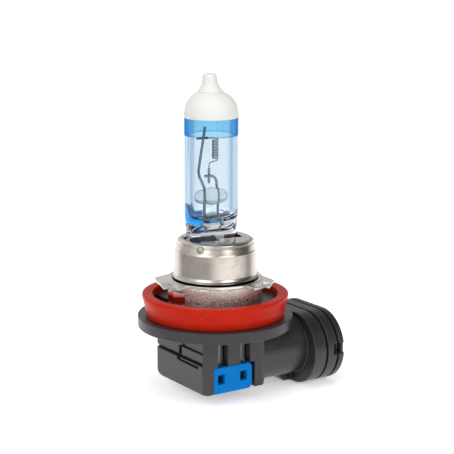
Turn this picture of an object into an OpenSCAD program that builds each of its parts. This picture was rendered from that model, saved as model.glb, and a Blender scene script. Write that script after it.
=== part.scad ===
// Headlight bulb: a single-filament halogen burner with its metal holder, carried by a
// black moulded base with a sealing ring and a right-angle connector socket.
// Millimetres. The origin is on the lamp axis, in the reference plane that the underside
// of the three bayonet lugs makes. +Z runs along the lamp axis to the tip of the glass
// and +X runs out through the mouth of the connector.

/* [Burner] */
// Outer diameter of the glass tube
tube_d = 10; // [9.6:0.1:10.4]
// Wall thickness of the glass tube
tube_wall = 1; // [0.8:0.05:1.1]
// Height of the underside of the glass tube
tube_foot_z = 11; // [10.8:0.1:11.2]
// Height where the straight tube turns into its dome
dome_foot_z = 31; // [30:0.1:31.4]
// Height of the sealed exhaust tip, the highest point of the lamp
tip_z = 39; // [38.5:0.1:39.5]
// Distance of the glass axis from the lamp axis along X
tube_shift_x = -0.62; // [-0.8:0.02:0]
// Distance of the glass axis from the lamp axis along Y
tube_shift_y = 0.41; // [0:0.01:0.6]
// Turn of the pinch and the supports about the glass axis, in degrees
burner_turn = -13.5; // [-20:0.5:0]
// Width of the flat pinch seal
pinch_w = 9.2; // [8.8:0.1:9.6]
// Thickness of the pinch seal
pinch_t = 2.8; // [2.4:0.1:3]
// Height of the lower end of the pinch seal
pinch_foot_z = 1.2; // [0.8:0.1:2]
// Lower edge of the opaque coat on the dome
coat_foot_z = 30.95; // [30.6:0.05:31.5]
// Lower edge of the blue filter band
band_foot_z = 27.68; // [27:0.02:28.5]
// Thickness of the two coats
coat_t = 0.06; // [0.05:0.01:0.1]

/* [Filament] */
// Height of the middle of the filament above the reference plane
light_centre_z = 25; // [24.9:0.05:25.1]
// Length of the filament's winding
coil_len = 3.7; // [3.3:0.1:4]
// Outer diameter of the winding
coil_d = 1.28; // [1.1:0.02:1.5]
// Thickness of the tungsten wire
filament_d = 0.2; // [0.16:0.02:0.22]
// Number of turns in the winding
coil_turns = 12; // [9:1:13]

/* [Supports] */
// Diameter of the two support wires
support_d = 0.5; // [0.4:0.05:0.6]
// Distance of each support wire from the glass axis where it leaves the pinch
support_x = 1.34; // [1.2:0.02:1.5]
// Height of the middle of the glass bridge that ties the supports together
bridge_z = 16.1; // [15.9:0.05:16.3]
// Length of the glass bridge
bridge_len = 6.56; // [6:0.1:7]
// Largest diameter of the glass bridge
bridge_d = 3.36; // [3:0.1:3.6]

/* [Holder] */
// Outer diameter of the straight part of the metal cap
cap_d = 15.4; // [15:0.1:15.8]
// Height of the flat top of the cap
cap_top_z = 8.22; // [8:0.02:8.4]
// Sheet thickness of the cap
cap_t = 0.35; // [0.25:0.05:0.4]
// Sheet thickness of the lug plate
lug_t = 0.5; // [0.4:0.05:0.6]
// Radius over the bayonet lugs
lug_r = 11.4; // [11.2:0.1:11.6]
// Outer diameter of the locating ring, which centres the lamp in its reflector
ring_d = 17.86; // [17.8:0.02:17.94]
// Length of the locating ring above the base
ring_len = 3.8; // [3.6:0.1:4]

/* [Base] */
// Outer diameter of the flange
flange_d = 29.5; // [29:0.1:30]
// Thickness of the flange
flange_t = 2.1; // [1.8:0.1:2.3]
// Height of the flange's upper face
flange_z = -6.6; // [-6.7:0.05:-6.5]
// Height of the underside of the box below the flange
box_foot_z = -19.6; // [-20:0.1:-19.4]
// Outer diameter of the sealing ring at its upper edge
gasket_d = 27.8; // [27.4:0.1:28]
// Height of the sealing ring
gasket_h = 4.2; // [4:0.1:4.4]

/* [Connector] */
// Length of the socket from the lamp axis to its mouth
mouth_x = 23; // [22.8:0.1:23.4]
// Width of the collar at the socket's mouth
collar_w = 21.8; // [21.6:0.1:22]
// Height of the collar at the socket's mouth
collar_h = 14.1; // [14:0.1:14.4]
// Width of the two contact blades
blade_w = 2.8; // [2.4:0.1:3]
// Thickness of the two contact blades
blade_t = 0.8; // [0.6:0.1:0.9]

/* [Hidden] */
$fn = 96;
gap = 0.02;             // slide fit between pieces that are set into each other
eps = 0.01;             // overlap that makes a cut break through a surface

tube_r = tube_d / 2;
dome_h = 5;             // height of the dome's shoulder above the straight tube
neck_z = 35.6;          // where the shoulder runs into the neck of the exhaust tip
foil_y = -(support_d / 2 + 0.04);
foil_t = 0.06;
foil_foot_z = 3;
foil_top_z = 9.6;
lead_d = 0.6;           // outer lead wires
lead_foot_z = -12.6;

// Place of the filament in the burner's own frame, so that it lies on the lamp axis
coil_x = -tube_shift_x * cos(burner_turn) - tube_shift_y * sin(burner_turn);
coil_y = tube_shift_x * sin(burner_turn) - tube_shift_y * cos(burner_turn);
coil_r = (coil_d - filament_d) / 2;
coil_foot_z = light_centre_z - coil_len / 2 + filament_d / 2;
coil_top_z = light_centre_z + coil_len / 2 - filament_d / 2;
sleeve_x = -0.46;
sleeve_foot_z = 18.6;
sleeve_top_z = 21.44;
clamp_y = 0.38;
clamp_z = 27.1;

slot_len = 11.7;        // opening in the cap for the pinch
slot_w = 3.5;
bay_len = 4.8;          // side bays of that opening, over the spring tongues
bay_depth = 1.7;
sleeve_r = 7.22;        // upright sleeve of the lug plate, inside the cap
sleeve_h = 4.2;
plate_r = 8.95;
plate_foot_z = 0.1;     // underside of the plate inside its lugs, where it meets the ring
ring_r = ring_d / 2;
ring_wall = 1.3;
ring_root = 1.2;        // length of the ring that is moulded into the base

seat_r = 11.8;          // raised seat inside the sealing ring
seat_z = -ring_len;
seat_cut_x = -7.6;      // the seat ends at this straight edge
flange_foot_z = flange_z - flange_t;
box_x0 = -7.8;
box_x1 = 6.1;
box_y0 = -8.6;
box_y1 = 9.4;
tube_axis_z = -14.4;    // neck of the connector
neck_half_w = 8.5;
neck_half_h = 5.8;
collar_axis_z = -15;
collar_x = 15.9;
groove_depth = 0.8;
groove_w = 0.45;
rib_ends = [collar_x, 18.7, 21.35];
socket_half_w = 7.4;
socket_half_h = 4.7;
socket_foot_x = 8.2;
blade_z = tube_axis_z - blade_t / 2;
blade_tip_x = 17;
blade_y = 3;            // distance of each blade from the middle plane

contact_pitch = 5;
strip_x = -4.9;         // left edge of the far contact's upright strip
strip_w = 1.9;
strip_t = 0.6;
strip_y = -7.1;         // front face of the upright strips
strip_top_z = -8.9;
strip_foot_z = -18.4;
insert_x0 = -5.9;
insert_x1 = 2.7;
insert_top_z = -14.6;
insert_t = 1.4;
pocket_x1 = 3.3;        // the insert's pocket is a little wider than the insert

// ---------------------------------------------------------------- helpers

// Puts its children into the burner's frame: X along the pinch, Y across it
module in_burner() {
    translate([tube_shift_x, tube_shift_y, 0]) rotate([0, 0, burner_turn]) children();
}

function unit(v) = v / norm(v);
function tangent(path, i) =
    unit(path[min(i + 1, len(path) - 1)] - path[max(i - 1, 0)]);
function turned(side, along) = unit(side - (side * along) * along);

// A wire swept along a path as one closed skin
module swept_wire(path, d, sides, first_side) {
    normals = [for (i = 0, n = turned(first_side, tangent(path, 0)); i < len(path);
                    i = i + 1, n = turned(n, tangent(path, min(i, len(path) - 1)))) n];
    rings = [for (i = [0 : len(path) - 1], k = [0 : sides - 1])
        path[i] + d / 2 * (cos(360 * k / sides) * normals[i]
                         + sin(360 * k / sides) * cross(tangent(path, i), normals[i]))];
    last = (len(path) - 1) * sides;
    skin = [for (i = [0 : len(path) - 2], k = [0 : sides - 1])
        [i * sides + k, (i + 1) * sides + k,
         (i + 1) * sides + (k + 1) % sides, i * sides + (k + 1) % sides]];
    polyhedron(rings, concat(skin,
        [[for (k = [0 : sides - 1]) k]], [[for (k = [sides - 1 : -1 : 0]) last + k]]));
}

// A bar with round sides along X, between x0 and x1
module stadium_bar(half_w, half_h, x0, x1, z) {
    flat = half_w - half_h;
    translate([x0, 0, z]) rotate([90, 0, 90]) linear_extrude(x1 - x0) {
        square([2 * flat, 2 * half_h], center = true);
        for (side = [-1, 1]) translate([side * flat, 0]) circle(half_h);
    }
}

// A rectangle from corner a to corner b with round corners
module round_rect(a, b, r) {
    translate([a[0] + r, a[1]]) square([b[0] - a[0] - 2 * r, b[1] - a[1]]);
    translate([a[0], a[1] + r]) square([b[0] - a[0], b[1] - a[1] - 2 * r]);
    for (x = [a[0] + r, b[0] - r], y = [a[1] + r, b[1] - r]) translate([x, y]) circle(r);
}

// A box from its lowest corner a to its highest corner b
module block(a, b) {
    translate(a) cube(b - a);
}

// ---------------------------------------------------------------- burner

// Radius of the dome's shoulder at a height z above its foot, for a tube of radius r
function dome_r(r, z, h) = r * pow(1 - pow(z / h, 2.4), 1 / 2.4);

// Outline of the glass from the axis out: shoulder, neck and exhaust tip
function shoulder(r, h, top) = [for (k = [0 : 14]) let (z = h * top * sin(90 * k / 14))
    [dome_r(r, z, h), dome_foot_z + z]];
function neck() = [for (k = [0 : 6]) let (t = k / 6)
    [1.4 + 1.05 * pow(1 - t, 1.5), neck_z + 0.05 + 1.85 * t]];

module glass_outline(grow) {
    foot_r = 1.4;
    polygon(concat(
        [[0, tube_foot_z - grow]],
        [for (a = [-90 : 15 : 0]) [tube_r - foot_r + (foot_r + grow) * cos(a),
                                   tube_foot_z + foot_r + (foot_r + grow) * sin(a)]],
        [for (p = shoulder(tube_r, dome_h, 0.916)) p + [grow, 0]],
        [for (p = neck()) p + [grow, 0]],
        [[1.32 + grow, tip_z - 1], [1.25 + grow, tip_z - 0.45],
         [1.08 + grow, tip_z - 0.07 + grow], [0, tip_z + grow]]));
}

module glass_cavity_outline() {
    r = tube_r - tube_wall;
    foot_r = 1.2;
    foot_z = tube_foot_z + 1.25;
    polygon(concat(
        [[0, foot_z]],
        [for (a = [-90 : 15 : 0]) [r - foot_r + foot_r * cos(a), foot_z + foot_r * (1 + sin(a))]],
        [for (p = shoulder(r, dome_h - 1, 0.93)) p],
        [[0.5, 35.1], [0, 35.3]]));
}

// Cylindrical and flat pockets in the pinch for the wires and foils sealed into it
module pinch_pockets() {
    for (side = [-1, 1]) {
        translate([side * support_x, 0, 7.9]) cylinder(d = support_d + 2 * gap, h = 5);
        translate([side * support_x, 0, pinch_foot_z - eps]) cylinder(d = lead_d + 2 * gap, h = 3.6);
        translate([side * support_x, foil_y, (foil_foot_z + foil_top_z) / 2])
            cube([2 + 2 * gap, foil_t + 2 * gap, foil_top_z - foil_foot_z + 2 * gap], center = true);
    }
}

module glass_envelope() {
    color("aliceblue", 0.35) in_burner() difference() {
        union() {
            rotate_extrude() glass_outline(0);
            translate([0, 0, pinch_foot_z]) linear_extrude(tube_foot_z + 1 - pinch_foot_z)
                round_rect([-pinch_w / 2, -pinch_t / 2], [pinch_w / 2, pinch_t / 2], 0.5);
        }
        rotate_extrude() glass_cavity_outline();
        pinch_pockets();
    }
}

// A thin shell on the outside of the glass between two heights
module coat(z0, z1) {
    in_burner() rotate_extrude() intersection() {
        difference() {
            glass_outline(coat_t);
            glass_outline(0);
        }
        translate([0, z0]) square([tube_d, z1 - z0]);
    }
}

module antiglare_coat() {
    color("white") coat(coat_foot_z, tip_z + 1);
}

module blue_filter_band() {
    color("deepskyblue", 0.6) coat(band_foot_z, coat_foot_z);
}

// ---------------------------------------------------------------- filament and supports

// Centre line of the tungsten wire: upper leg, winding, lower leg
coil_steps = 16;
upper_leg = [[-2.2, clamp_y, clamp_z], [-0.5, clamp_y, clamp_z], [0.5, 0.1, clamp_z],
             [1.05, -0.15, clamp_z - 0.03], [coil_x + coil_r, coil_y - 0.12, coil_top_z + 0.12]];
lower_leg = [[coil_x + coil_r, coil_y + 0.2, coil_foot_z - 0.14], [1.1, -0.2, 22.85],
             [0.4, -0.15, 22.72], [-0.21, -0.08, 22.58], [-0.42, -0.02, 22.3],
             [sleeve_x, 0, 21.9], [sleeve_x, 0, sleeve_foot_z + 0.3]];
winding = [for (k = [0 : coil_turns * coil_steps]) let (t = k / (coil_turns * coil_steps))
    [coil_x + coil_r * cos(360 * coil_turns * t), coil_y + coil_r * sin(360 * coil_turns * t),
     coil_top_z - (coil_top_z - coil_foot_z) * t]];

module filament() {
    color("slategray") in_burner()
        swept_wire(concat(upper_leg, winding, lower_leg), filament_d, 6, [0, 0, 1]);
}

// Folded strip that clamps the upper leg to the long support
module filament_clamp() {
    half_t = 0.16;
    color("dimgray") in_burner() difference() {
        block([-2.75, support_d / 2 + gap, clamp_z - 0.22], [-0.49, clamp_y + half_t, clamp_z + 0.22]);
        translate([-2.3, clamp_y, clamp_z]) rotate([0, 90, 0])
            cylinder(d = filament_d + 2 * gap, h = 3, $fn = 24);
    }
}

// Little tube on the lower leg, welded to the hook of the short support
module leg_sleeve() {
    color("silver") in_burner() difference() {
        translate([sleeve_x, 0, sleeve_foot_z])
            cylinder(d = 0.5, h = sleeve_top_z - sleeve_foot_z, $fn = 32);
        translate([sleeve_x, 0, sleeve_foot_z - eps])
            cylinder(d = filament_d + 2 * gap, h = 4, $fn = 24);
    }
}

long_route = [[-support_x, 0, 8], [-support_x, 0, 17.7], [-2.3, 0, 19.9], [-2.47, 0, 20.9],
              [-2.35, 0, 22], [-1.21, 0, 29.26]];
hook_y = -0.5;
short_route = [[support_x, 0, 8], [support_x, 0, 17.3], [0.98, hook_y / 2, 18.1],
               [0.88, hook_y, 18.9], [0.62, hook_y, 19.6], [0.12, hook_y, 20.02],
               [-0.4, hook_y, 20.1], [-1.5, hook_y, 20.08]];

module long_support() {
    color("lightsteelblue") in_burner() swept_wire(long_route, support_d, 12, [0, 1, 0]);
}

module short_support() {
    color("lightsteelblue") in_burner() swept_wire(short_route, support_d, 12, [0, 1, 0]);
}

// Radius of the glass bridge at a distance x from its middle
function bridge_r(x) = (bridge_d / 2 - 0.36 + 0.36 * exp(-pow(x / 0.9, 2)))
                     * sqrt(max(0, 1 - pow(abs(2 * x / bridge_len), 6)));

module glass_bridge() {
    color("lightcyan", 0.6) in_burner() difference() {
        translate([0, 0, bridge_z]) rotate([0, 90, 0]) rotate_extrude()
            polygon(concat([[0, -bridge_len / 2]],
                [for (k = [1 : 23]) let (x = -bridge_len / 2 * cos(180 * k / 24)) [bridge_r(x), x]],
                [[0, bridge_len / 2]]));
        for (side = [-1, 1]) translate([side * support_x, 0, bridge_z - 2])
            cylinder(d = support_d + 2 * gap, h = 4);
    }
}

module foil(side) {
    color("silver") in_burner()
        translate([side * support_x, foil_y, (foil_foot_z + foil_top_z) / 2])
            cube([2, foil_t, foil_top_z - foil_foot_z], center = true);
}

module left_foil() foil(-1);
module right_foil() foil(1);

// Turns a point of the burner's frame into the lamp's frame
function from_burner(p) = [tube_shift_x + p[0] * cos(burner_turn) - p[1] * sin(burner_turn),
                           tube_shift_y + p[0] * sin(burner_turn) + p[1] * cos(burner_turn), p[2]];

// Outer lead from the pinch down to the back of a contact's upright strip
module outer_lead(side, contact_x) {
    weld_y = strip_y + strip_t + lead_d / 2;
    weld_x = contact_x + strip_w / 2;
    color("silver") swept_wire([from_burner([side * support_x, 0, pinch_foot_z + 3.4]),
        from_burner([side * support_x, 0, -4]), [weld_x, weld_y, -10], [weld_x, weld_y, lead_foot_z]],
        lead_d, 12, [0, 1, 0]);
}

module left_outer_lead() outer_lead(-1, strip_x);
module right_outer_lead() outer_lead(1, strip_x + contact_pitch);

// ---------------------------------------------------------------- holder

// The opening in the cap's top: a slot for the pinch and a bay on each side for a tongue
module cap_opening(grow) {
    half = [slot_len / 2 + grow, slot_w / 2 + grow];
    in_burner() translate([0, 0, cap_top_z - 2]) linear_extrude(4) {
        translate(-half) square(2 * half);
        for (turn = [0, 180]) rotate(turn)
            translate([-bay_len - grow, -slot_w / 2 - bay_depth - grow])
                square([bay_len + 0.6 + 2 * grow, bay_depth + 1]);
    }
}

// Half section of the cap's outer surface, from the top down
function cap_side(inset) = let (r = cap_d / 2 - inset) concat(
    [[0, cap_top_z - inset]],
    [for (a = [0 : 15 : 75]) [r - 1.4 + 0.9 * sin(a), cap_top_z - inset - 0.9 * (1 - cos(a))]],
    [[r - 0.51, 7.28], [r - 0.45, 7.2], [r - 0.18, 6.13], [r - 0.12, 5.95], [r, 4.8], [r, 1.5],
     [r + 0.06, 1.2], [r + 0.22, 0.95], [r + 0.4, 0.85]]);

module cap_shell() {
    color("rosybrown") difference() {
        rotate_extrude() difference() {
            polygon(concat(cap_side(0), [[0, 0.85]]));
            polygon(concat(cap_side(cap_t), [[cap_d / 2 + 0.06, 0.5], [0, 0.5]]));
        }
        cap_opening(0);
    }
}

// Laser weld spots round the cap's shoulder
module cap_weld_spots() {
    color("white") difference() {
        for (k = [0 : 2]) rotate([0, 0, 214.6 + 120 * k]) translate([6, 0, 7.15])
            rotate([90, 0, 90]) linear_extrude(1.32) {
                square([0.74, 0.5], center = true);
                for (z = [-0.25, 0.25]) translate([0, z]) circle(0.37, $fn = 32);
            }
        rotate_extrude() polygon(concat(cap_side(0), [[0, 0.85]]));
    }
}

// Spring-steel clip that grips the pinch inside the cap
module pinch_clip() {
    wall = 0.3;
    foot_z = 2.2;
    top_z = 7.6;
    half = [pinch_w / 2 + gap, pinch_t / 2 + gap];
    color("dimgray") in_burner() {
        difference() {
            union() {
                translate([0, 0, foot_z]) linear_extrude(top_z - foot_z)
                    round_rect(-half - [wall, wall], half + [wall, wall], 0.5 + wall);
                translate([-tube_shift_x, -tube_shift_y, foot_z]) cylinder(r = 5.9, h = wall);
            }
            translate([0, 0, foot_z - eps]) linear_extrude(top_z)
                round_rect(-half, half, 0.5);
        }
        for (turn = [0, 180]) rotate([0, 0, turn]) tongue(half[1], top_z, wall);
    }
}

// One tongue of the clip: it leans out of the slot's bay and back against the pinch
module tongue(face_y, top_z, t) {
    translate([-bay_len + 0.3, 0, 0]) rotate([90, 0, 90]) linear_extrude(bay_len) polygon([
        [-face_y, top_z - 1], [-face_y - 1.3, top_z - 0.2], [-face_y - 1.3, top_z + 0.35],
        [-face_y, top_z + 1.15], [-face_y, top_z + 1.15 - t], [-face_y - 1, top_z + 0.2],
        [-face_y - 1, top_z - 0.05], [-face_y, top_z - 0.65]]);
}

// Bayonet lugs: azimuth where each starts and ends, and of the groove pressed into it
lugs = [[40, 60, 80], [154, 180, 201], [276, 299, 309]];

// Sides of the lugs that run out into the plate in a long slope: azimuth and direction
lug_slopes = [[40, -1], [80, 1], [154, -1], [309, 1]];

// Half width of the groove pressed into each lug, and how far it dips below the plate
groove_half = 1.5;
groove_dip = 0.45;
groove_x = 9.7;

// Prism over the sector of one lug, less the strip that its groove takes
module lug_sector(lug) {
    reach = 20;
    difference() {
        linear_extrude(lug_t)
            polygon([[0, 0], for (a = [lug[0], (lug[0] + lug[2]) / 2, lug[2]]) reach * [cos(a), sin(a)]]);
        rotate([0, 0, lug[1]]) block([groove_x, -groove_half, -1], [reach, groove_half, 2]);
    }
}

// The slope at one side of a lug, as (radius, azimuth) from the lug to the plate's edge
module lug_slope(side) {
    outline = [[lug_r + 1, -6], [lug_r + 0.4, 2.4], [9.7, 17], [plate_r - 0.6, 30]];
    linear_extrude(lug_t) polygon([[0, 0], for (corner = outline) corner[0]
        * [cos(side[0] + side[1] * corner[1]), sin(side[0] + side[1] * corner[1])]]);
}

// The pressed groove, as a folded strip that runs out through the lug's edge
module lug_groove() {
    translate([groove_x, 0, 0]) rotate([90, 0, 90]) linear_extrude(4) polygon([
        [-groove_half, 0], [-groove_half, lug_t], [0, lug_t - groove_dip], [groove_half, lug_t],
        [groove_half, 0], [0.25, -groove_dip], [-0.25, -groove_dip]]);
}

module lug_plate() {
    lip_h = 0.12;
    hole_r = sleeve_r - cap_t;
    color("silver") {
        rotate_extrude() polygon([[hole_r, plate_foot_z], [plate_r, plate_foot_z], [plate_r, lug_t + lip_h],
            [plate_r - 0.3, lug_t + lip_h], [plate_r - 0.4, lug_t], [sleeve_r, lug_t],
            [sleeve_r, lug_t + sleeve_h], [hole_r, lug_t + sleeve_h]]);
        intersection() {
            translate([0, 0, -1]) difference() {
                cylinder(r = lug_r, h = 3);
                translate([0, 0, -1]) cylinder(r = plate_r - eps, h = 5);
            }
            union() {
                for (lug = lugs) {
                    lug_sector(lug);
                    rotate([0, 0, lug[1]]) lug_groove();
                }
                for (side = lug_slopes) lug_slope(side);
            }
        }
    }
}

module locating_ring() {
    color("rosybrown") difference() {
        translate([0, 0, -ring_len - ring_root])
            cylinder(r = ring_r, h = ring_len + ring_root + plate_foot_z);
        translate([0, 0, -10]) cylinder(r = ring_r - ring_wall, h = 20);
    }
}

// Block on the side of the ring that keys the lamp to its holder
module keying_block() {
    plan = [[-10, 0.9], [-9.9, -0.8], [-8.6, -2.9], [-7.5, -2], [-7.5, 1.6], [-9.7, 1.2]];
    color("gainsboro") difference() {
        translate([0, 0, -3]) linear_extrude(2.15) polygon(plan);
        translate([0, 0, -4]) cylinder(r = ring_r, h = 5);
    }
}

// ---------------------------------------------------------------- base

module gasket() {
    foot_r = 13.14;
    top_r = gasket_d / 2;
    inner_r = seat_r + 0.08;
    round = 0.55;
    color("firebrick") translate([0, 0, flange_z]) rotate_extrude() polygon(concat(
        [[inner_r, 0.1], [inner_r + 0.1, 0], [foot_r - 0.3, 0]],
        [for (a = [-60 : 30 : 0]) [foot_r - 0.3 + 0.3 * cos(a), 0.3 + 0.3 * sin(a)]],
        [for (a = [0 : 15 : 75]) [top_r - round + round * cos(a), gasket_h - round + round * sin(a)]],
        [for (a = [90 : 30 : 180]) [inner_r + 0.3 + 0.3 * cos(a), gasket_h - 0.3 + 0.3 * sin(a)]]));
}

// The room that a contact and its welded lead take up inside the mouldings
module contact_room(x, y, grow) {
    g = [grow, grow, grow];
    plate_z0 = blade_z - grow;
    plate_z1 = blade_z + blade_t + grow;
    block([x, strip_y, strip_foot_z] - g, [x + strip_w, strip_y + strip_t, strip_top_z] + g);
    block([x - grow, strip_y - grow, plate_z0], [x + strip_w + grow, y + blade_w / 2 + grow, plate_z1]);
    block([x - grow, y - blade_w / 2 - grow, plate_z0], [blade_tip_x, y + blade_w / 2 + grow, plate_z1]);
}

// One contact: upright strip, flat run through the base, and blade with a tapered tip
module contact(x, y) {
    taper = 0.7;
    difference() {
        contact_room(x, y, 0);
        for (side = [-1, 1]) translate([blade_tip_x, y + side * blade_w / 2, blade_z - 1])
            rotate([0, 0, 45]) cube([taper, taper, 4], center = true);
    }
}

module far_contact() {
    color("silver") contact(strip_x, blade_y);
}

module near_contact() {
    color("silver") contact(strip_x + contact_pitch, -blade_y);
}

// The box under the flange, with its round corners
module box_body() {
    intersection() {
        translate([0, 0, box_foot_z]) linear_extrude(flange_foot_z - box_foot_z + eps)
            round_rect([box_x0, box_y0], [box_x1, box_y1], 1.2);
        translate([-20, 0, 0]) rotate([90, 0, 90]) linear_extrude(40)
            round_rect([-20, box_foot_z], [box_y1, 20], 2.6);
        translate([0, 20, 0]) rotate([90, 0, 0]) linear_extrude(40)
            round_rect([-20, box_foot_z], [box_x1, 20], 1.5);
    }
}

// Steps and grooves in the side of the box that faces away from the connector
module box_side_relief() {
    ledge_z = -14.1;
    block([box_x0 - 1, -7.6, ledge_z], [box_x0 + 0.4, 20, 0]);
    block([box_x0 - 1, -7.6, ledge_z], [box_x0 + 0.9, 20, ledge_z + 0.35]);
    block([box_x0 - 1, -6.1, ledge_z - 0.75], [box_x0 + 0.7, 0.6, ledge_z - 0.4]);
    block([box_x0 - 1, 0.3, ledge_z - 0.6], [box_x0 + 1.2, 1.3, -12]);
    block([box_x0 - 1, -7.15, -12], [box_x0 + 0.8, 0.2, 0]);
}

// Openings in the front of the box: the insert's pocket and the slots over the strips
module box_front_relief() {
    block([insert_x0, box_y0 - 1, box_foot_z - 1], [pocket_x1, box_y0 + insert_t, insert_top_z + gap]);
    for (k = [0, 1]) translate([strip_x + k * contact_pitch, 0, 0])
        block([-gap, box_y0 - 1, insert_top_z - 0.5], [2.1, strip_y + strip_t + gap, 0]);
}

// Inside of the base: well under the ring, and the socket's cavity
module base_cavities() {
    translate([0, 0, -8]) cylinder(r = 6.6, h = 10);
    block([-5.4, -6.5, -13.6], [2.6, 2.4, -7]);
    stadium_bar(socket_half_w, socket_half_h, socket_foot_x, mouth_x + 1, tube_axis_z);
    translate([0, 0, seat_z - ring_root]) difference() {
        cylinder(r = ring_r + gap, h = 4);
        translate([0, 0, -1]) cylinder(r = ring_r - ring_wall - gap, h = 6);
    }
}

// Shallow recess in the flange, where the seat is cut away beside the keying block
module seat_recess() {
    intersection() {
        translate([0, 0, flange_z - 0.7]) cylinder(r = seat_r, h = 5);
        block([-20, -20, flange_z - 1], [seat_cut_x, 20, 0]);
    }
}

// Ribbed collar round the mouth of the socket
module collar() {
    stadium_bar(collar_w / 2 - groove_depth, collar_h / 2 - groove_depth,
                collar_x, mouth_x - 0.1, collar_axis_z);
    for (k = [0 : 2]) stadium_bar(collar_w / 2, collar_h / 2, rib_ends[k] + (k > 0 ? groove_w : 0),
                                  k < 2 ? rib_ends[k + 1] : mouth_x, collar_axis_z);
}

module base_housing() {
    color("dimgray") difference() {
        union() {
            translate([0, 0, flange_foot_z]) cylinder(d = flange_d, h = flange_t);
            difference() {
                translate([0, 0, flange_z - eps]) cylinder(r = seat_r, h = seat_z - flange_z + eps);
                block([-20, -20, flange_z], [seat_cut_x, 20, 0]);
            }
            difference() {
                box_body();
                box_side_relief();
                box_front_relief();
            }
            stadium_bar(neck_half_w, neck_half_h, box_x1 - 2, collar_x + 1, tube_axis_z);
            collar();
            latch_nib();
        }
        base_cavities();
        contact_room(strip_x, blade_y, gap);
        contact_room(strip_x + contact_pitch, -blade_y, gap);
        for (cut = [[mouth_x - 0.6, 1.6], [mouth_x + 1, 0.35]])
            block([rib_ends[2] - 0.9, -collar_w, -15.55], [cut[0], cut[1] - collar_w / 2, -13.55]);
        seat_recess();
    }
}

// Ramp under the neck that a plug's latch snaps over
module latch_nib() {
    top_z = tube_axis_z - neck_half_h + 0.5;
    translate([0, 3, 0]) rotate([90, 0, 0]) linear_extrude(6)
        polygon([[12.4, top_z], [12.6, -20.25], [14.2, -21.9], [collar_x + 0.5, -21.9],
                 [collar_x + 0.5, top_z]]);
}

// Coloured insert that closes the bottom of the front, with a test window per contact
module terminal_insert() {
    window_w = 1.5;
    chamfer = 0.65;
    color("dodgerblue") translate([0, box_y0 + insert_t - gap, 0]) rotate([90, 0, 0])
        linear_extrude(insert_t - gap) difference() {
            polygon([[insert_x0 + gap, box_foot_z], [insert_x1 - chamfer, box_foot_z],
                     [insert_x1, box_foot_z + chamfer], [insert_x1, insert_top_z - chamfer],
                     [insert_x1 - chamfer, insert_top_z], [insert_x0 + gap, insert_top_z]]);
            for (k = [0, 1]) translate([-5 + k * contact_pitch, -17.8])
                square([window_w, 1.8]);
        }
}

// ---------------------------------------------------------------- assembly

glass_envelope();
antiglare_coat();
blue_filter_band();
filament();
filament_clamp();
leg_sleeve();
long_support();
short_support();
glass_bridge();
left_foil();
right_foil();
left_outer_lead();
right_outer_lead();
pinch_clip();
cap_shell();
cap_weld_spots();
lug_plate();
locating_ring();
keying_block();
gasket();
base_housing();
terminal_insert();
far_contact();
near_contact();
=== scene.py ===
"""Visual model of a halogen headlight bulb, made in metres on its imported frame."""

import logging
import math
from dataclasses import dataclass, field
from enum import Enum
from typing import Callable, ClassVar, Optional, Sequence, Union

import bmesh
import bpy
from mathutils import Matrix, Vector, noise


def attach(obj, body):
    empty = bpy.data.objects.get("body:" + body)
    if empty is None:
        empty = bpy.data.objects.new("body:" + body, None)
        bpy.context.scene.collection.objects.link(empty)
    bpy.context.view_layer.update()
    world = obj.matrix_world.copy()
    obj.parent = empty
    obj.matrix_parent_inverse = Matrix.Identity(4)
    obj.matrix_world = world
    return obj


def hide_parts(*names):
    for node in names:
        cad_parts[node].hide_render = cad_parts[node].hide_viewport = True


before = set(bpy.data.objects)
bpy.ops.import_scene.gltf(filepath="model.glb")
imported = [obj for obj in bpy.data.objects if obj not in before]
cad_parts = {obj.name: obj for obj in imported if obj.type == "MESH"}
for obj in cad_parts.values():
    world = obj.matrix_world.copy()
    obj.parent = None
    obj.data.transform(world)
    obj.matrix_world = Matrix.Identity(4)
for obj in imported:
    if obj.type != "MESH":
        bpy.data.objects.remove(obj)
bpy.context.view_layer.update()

MM = 0.001
SHARP_TURN = math.radians(40)
LOG = logging.getLogger("bulb")

Pair = tuple[float, float]
Point = tuple[float, float, float]
Colour = tuple[float, float, float]
Ring = Sequence[Sequence[float]]


# ---------------------------------------------------------------- node trees


class Plug:
    """The output of a node, which does sums: each operator adds the Math node it stands for."""

    def __init__(self, board: "Board", socket: bpy.types.NodeSocket) -> None:
        """Keeps the socket and the tree it belongs to."""
        self.board, self.socket = board, socket

    def maths(self, operation: str, *terms: "Term") -> "Plug":
        """Adds one Math node and returns its result."""
        return self.board.node("ShaderNodeMath", {"operation": operation}, dict(enumerate(terms)))

    def __add__(self, other: "Term") -> "Plug":
        """Sum."""
        return self.maths("ADD", self, other)

    def __radd__(self, other: "Term") -> "Plug":
        """Sum, from the right."""
        return self.maths("ADD", other, self)

    def __sub__(self, other: "Term") -> "Plug":
        """Difference."""
        return self.maths("SUBTRACT", self, other)

    def __rsub__(self, other: "Term") -> "Plug":
        """Difference, from the right."""
        return self.maths("SUBTRACT", other, self)

    def __mul__(self, other: "Term") -> "Plug":
        """Product."""
        return self.maths("MULTIPLY", self, other)

    def __rmul__(self, other: "Term") -> "Plug":
        """Product, from the right."""
        return self.maths("MULTIPLY", other, self)

    def ramp(self, low: float, high: float, start: float = 0.0, end: float = 1.0) -> "Plug":
        """Takes the range low to high smoothly onto start to end.

        Args:
            low: value that becomes start.
            high: value that becomes end; it may be less than low.
            start: result at low and beyond.
            end: result at high and beyond.

        Returns:
            The result of a smooth Map Range node.
        """
        settings = {"interpolation_type": "SMOOTHSTEP"}
        values = {"Value": self, "From Min": low, "From Max": high, "To Min": start, "To Max": end}
        return self.board.node("ShaderNodeMapRange", settings, values)


Term = Union[Plug, float]


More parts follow.
